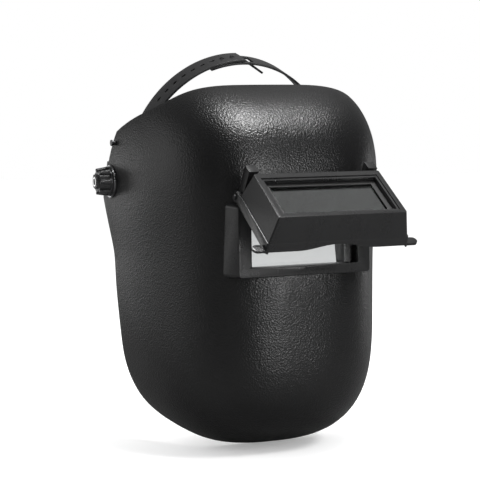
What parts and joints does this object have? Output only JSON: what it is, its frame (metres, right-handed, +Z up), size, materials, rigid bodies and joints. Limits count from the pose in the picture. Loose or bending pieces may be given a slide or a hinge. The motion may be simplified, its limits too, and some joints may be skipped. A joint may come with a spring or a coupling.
{
  "type": "welding helmet",
  "caption": "Hand-tool welding helmet: a deep moulded face shell that tilts on an adjustable headgear, with a dark filter frame that flips up from a clear window.",
  "frame": {"origin": "midway between the two temple pivots, on the axis the mask tilts about", "axes": "+X to the wearer's left along the pivot axis, +Y to the back of the head, +Z up; the helmet faces -Y with the mask down"},
  "size_m": [0.2658, 0.3415, 0.351],
  "materials": {
    "grained_plastic": "leather grain, semi-matt",
    "smooth_plastic": "smooth satin",
    "knob_plastic": "smooth satin",
    "strap_plastic": "satin, flexible",
    "clear_glass": "clear",
    "filter_glass": "dark filter",
    "rubber": "matt",
    "steel": "plain",
    "bright_insert": "bright plated",
    "sweatband_cloth": "padded, stitched",
    "pad_cloth": "padded"
  },
  "bodies": {
    "headgear": {"headband": "strap_plastic", "brow_sweatband": "sweatband_cloth", "crown_strap_left": "strap_plastic", "crown_strap_right": "strap_plastic", "crown_rivets": "steel", "stop_arm_left": "strap_plastic", "stop_arm_right": "strap_plastic", "pivot_bolts": "steel", "pivot_sleeves": "steel", "friction_washers": "rubber", "outer_washers": "steel", "ratchet_housing": "knob_plastic", "ratchet_cover": "knob_plastic", "ratchet_screws": "steel", "ratchet_spring": "steel", "nape_pad": "pad_cloth"},
    "mask": {"shell": "grained_plastic", "stop_pins": "steel", "lens_housing": "smooth_plastic", "clear_lens": "clear_glass", "clear_lens_gasket": "rubber", "inner_frame": "smooth_plastic", "frame_screws": "steel", "hinge_pins": "steel"},
    "flip_front": {"flip_frame": "smooth_plastic", "flip_gasket": "rubber", "cover_lens": "clear_glass", "shade_lens": "filter_glass", "lens_spring": "steel", "shade_retainer": "smooth_plastic"},
    "knob_left": {"pivot_knob_left": "knob_plastic", "knob_insert_left": "bright_insert"},
    "knob_right": {"pivot_knob_right": "knob_plastic", "knob_insert_right": "bright_insert"},
    "ratchet_drive": {"ratchet_knob": "knob_plastic", "ratchet_pinion": "knob_plastic"},
    "rear_left": {"rear_band_left": "strap_plastic"},
    "rear_right": {"rear_band_right": "strap_plastic"}
  },
  "joints": [
    {"name": "mask_tilt", "type": "hinge", "parent": "headgear", "child": "mask", "pos_m": [0, 0, 0], "axis": [-1, 0, 0], "range_deg": [0, 68]},
    {"name": "flip_hinge", "type": "hinge", "parent": "mask", "child": "flip_front", "pos_m": [0, -0.1592, -0.0091], "axis": [1, 0, 0], "range_deg": [0, 56]},
    {"name": "knob_left_turn", "type": "hinge", "parent": "headgear", "child": "knob_left", "pos_m": [0, 0, 0], "axis": [1, 0, 0], "continuous": true},
    {"name": "knob_right_turn", "type": "hinge", "parent": "headgear", "child": "knob_right", "pos_m": [0, 0, 0], "axis": [-1, 0, 0], "continuous": true},
    {"name": "ratchet_turn", "type": "hinge", "parent": "headgear", "child": "ratchet_drive", "pos_m": [0, 0.1, 0.01], "axis": [0, -1, 0], "range_deg": [0, 68]},
    {"name": "rear_left_slide", "type": "slide", "parent": "headgear", "child": "rear_left", "axis": [-1, 0, 0], "range_m": [0, 0.006]},
    {"name": "rear_right_slide", "type": "slide", "parent": "headgear", "child": "rear_right", "axis": [1, 0, 0], "range_m": [0, 0.006]}
  ],
  "couplings": [
    {"joint": "rear_left_slide", "follows": "ratchet_turn", "m_per_rad": 0.005},
    {"joint": "rear_right_slide", "follows": "ratchet_turn", "m_per_rad": 0.005}
  ]
}
